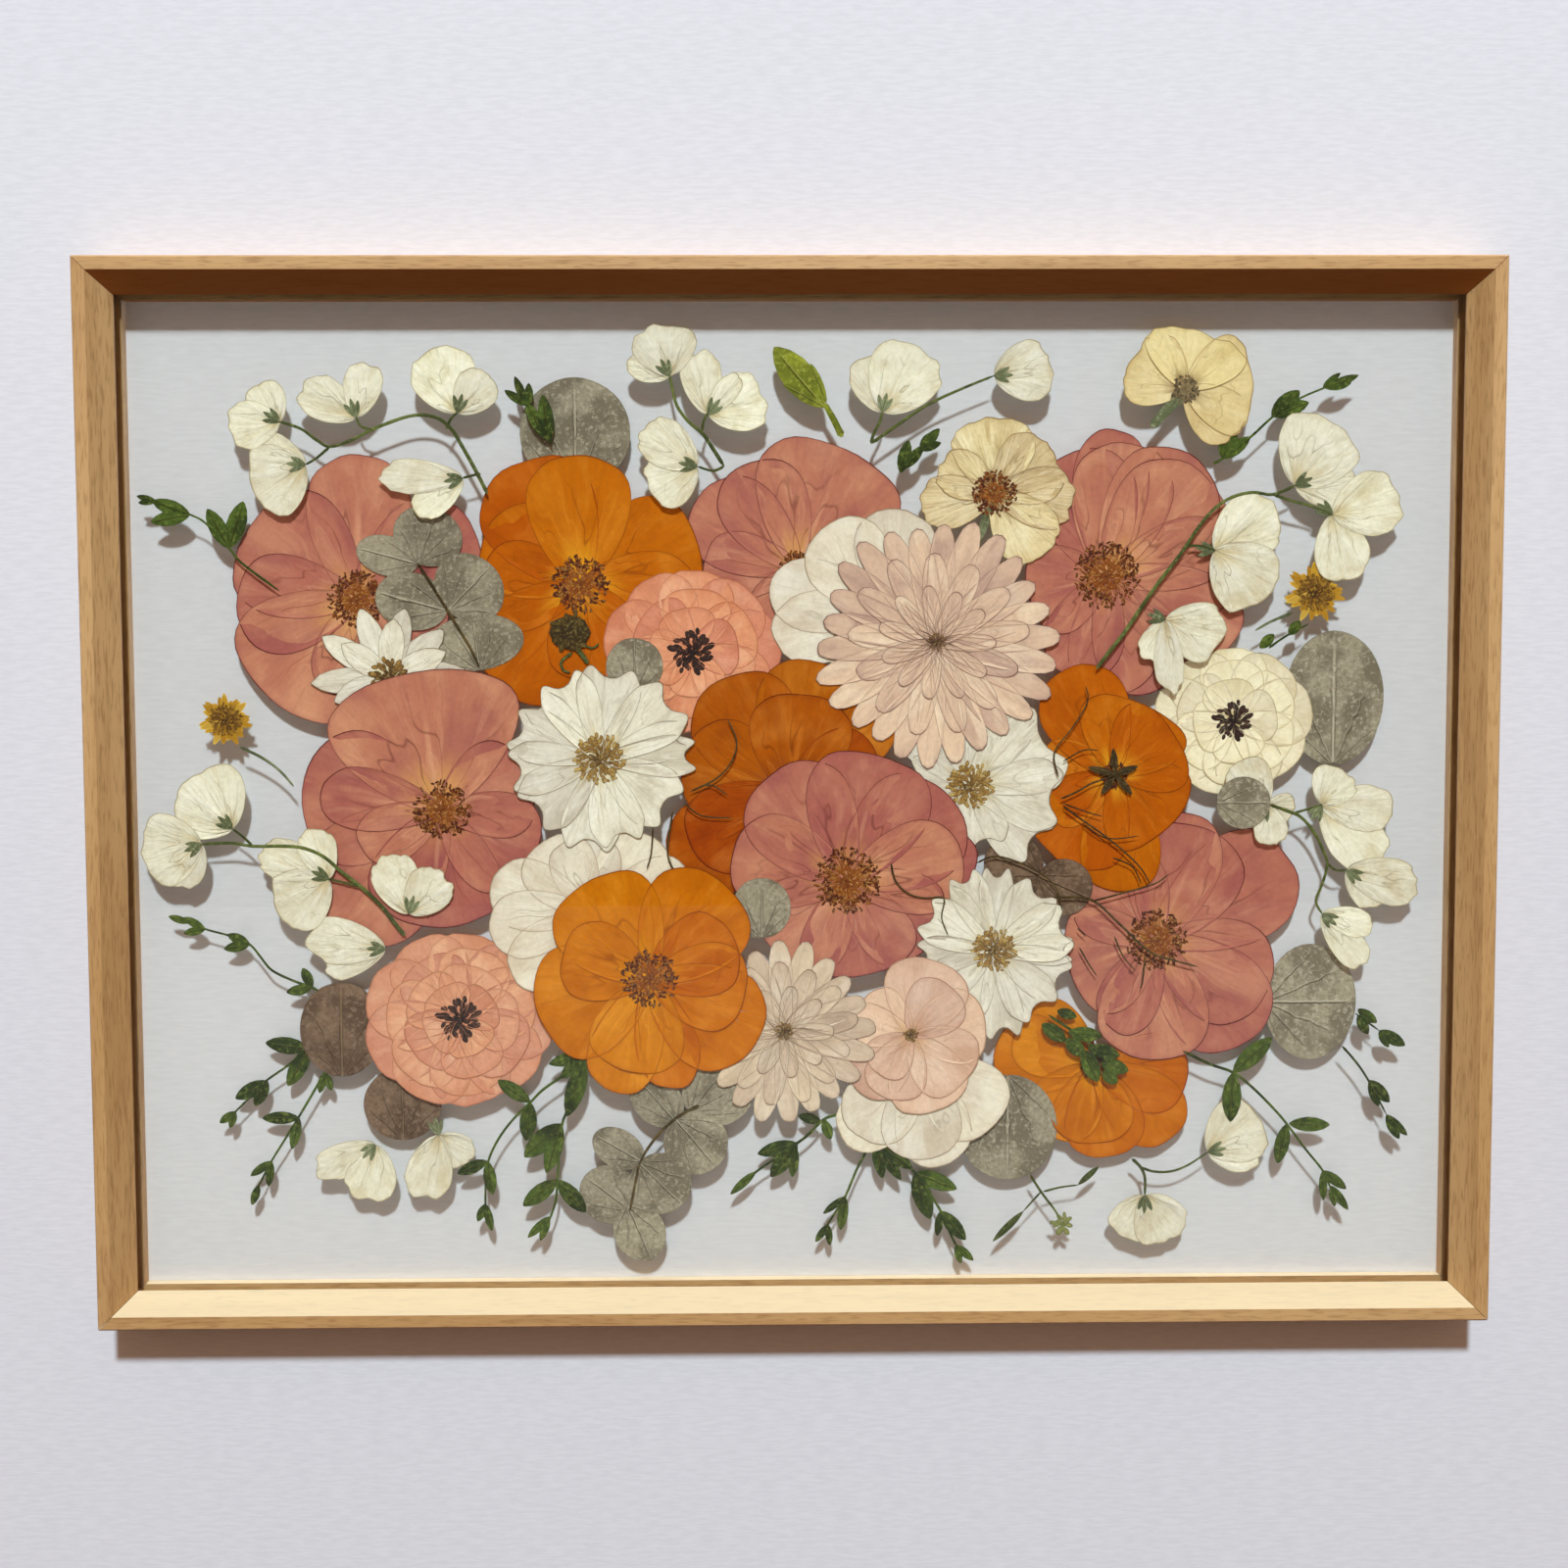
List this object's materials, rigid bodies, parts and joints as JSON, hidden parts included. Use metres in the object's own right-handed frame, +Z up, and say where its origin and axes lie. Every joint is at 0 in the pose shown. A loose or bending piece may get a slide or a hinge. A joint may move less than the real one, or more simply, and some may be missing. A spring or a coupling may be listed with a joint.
{
  "type": "pressed flower frame",
  "caption": "Wall-hung wooden frame with pressed roses, ranunculus, cosmos, sweet peas and leaves held between two panes of glass.",
  "frame": {"origin": "hanging point of the sawtooth hanger, on the wall plane behind the top rail, midway along it", "axes": "+Z up, +X to the right seen from the front, front towards -Y, wall plane at y = 0"},
  "size_m": [0.63, 0.024, 0.4776],
  "materials": {
    "rail_wood": "satin maple",
    "stop_wood": "bare wood",
    "pane_glass": "clear polished",
    "hanger_steel": "zinc plated",
    "dusty_petals": "dried petal",
    "orange_petals": "dried petal",
    "coral_petals": "dried petal",
    "white_petals": "dried petal",
    "cream_petals": "dried petal",
    "mauve_petals": "dried petal",
    "eucalyptus_leaves": "dried leaf",
    "brown_leaves": "dried leaf",
    "green_foliage": "dried leaf",
    "bud_green": "dried bud"
  },
  "bodies": {
    "root": {"aster_blush": "mauve_petals", "chrysanthemum_mauve": "mauve_petals", "cosmos_left": "white_petals", "cosmos_right": "white_petals", "cosmos_small": "white_petals", "daisy_white": "white_petals", "eucalyptus_leaf_bottom": "eucalyptus_leaves", "eucalyptus_leaf_brown_left": "brown_leaves", "eucalyptus_leaf_brown_lower": "brown_leaves", "eucalyptus_leaf_lower_right": "eucalyptus_leaves", "eucalyptus_leaf_middle": "eucalyptus_leaves", "eucalyptus_leaf_right": "eucalyptus_leaves", "eucalyptus_leaf_small_right": "eucalyptus_leaves", "eucalyptus_leaf_top": "eucalyptus_leaves", "eucalyptus_pair_brown": "brown_leaves", "eucalyptus_sprig_bottom": "eucalyptus_leaves", "eucalyptus_sprig_left": "eucalyptus_leaves", "foliage_bottom": "green_foliage", "foliage_left": "green_foliage", "foliage_lower_left": "green_foliage", "foliage_lower_right": "green_foliage", "glass_back": "pane_glass", "glass_front": "pane_glass", "hydrangea_blush": "mauve_petals", "lisianthus_bud": "bud_green", "poppy_cream": "cream_petals", "rail_bottom": "rail_wood", "rail_left": "rail_wood", "rail_right": "rail_wood", "rail_top": "rail_wood", "ranunculus_coral": "coral_petals", "ranunculus_cream": "cream_petals", "ranunculus_peach": "coral_petals", "rose_cream_crinkled": "cream_petals", "rose_left": "dusty_petals", "rose_middle": "dusty_petals", "rose_orange_corner": "orange_petals", "rose_orange_lower": "orange_petals", "rose_orange_middle": "orange_petals", "rose_orange_right": "orange_petals", "rose_orange_upper": "orange_petals", "rose_right": "dusty_petals", "rose_upper_left": "dusty_petals", "rose_upper_middle": "dusty_petals", "rose_upper_right": "dusty_petals", "sawtooth_hanger": "hanger_steel", "stop_bottom": "stop_wood", "stop_left": "stop_wood", "stop_right": "stop_wood", "stop_top": "stop_wood", "sweet_pea_spray_bottom": "cream_petals", "sweet_pea_spray_left": "cream_petals", "sweet_pea_spray_lower_right": "cream_petals", "sweet_pea_spray_right": "cream_petals", "sweet_pea_spray_top": "cream_petals", "sweet_pea_spray_upper_left": "cream_petals", "sweet_pea_spray_upper_middle": "cream_petals", "white_flower_left": "white_petals", "white_flower_lower": "white_petals", "white_flower_upper": "white_petals"}
  },
  "joints": []
}
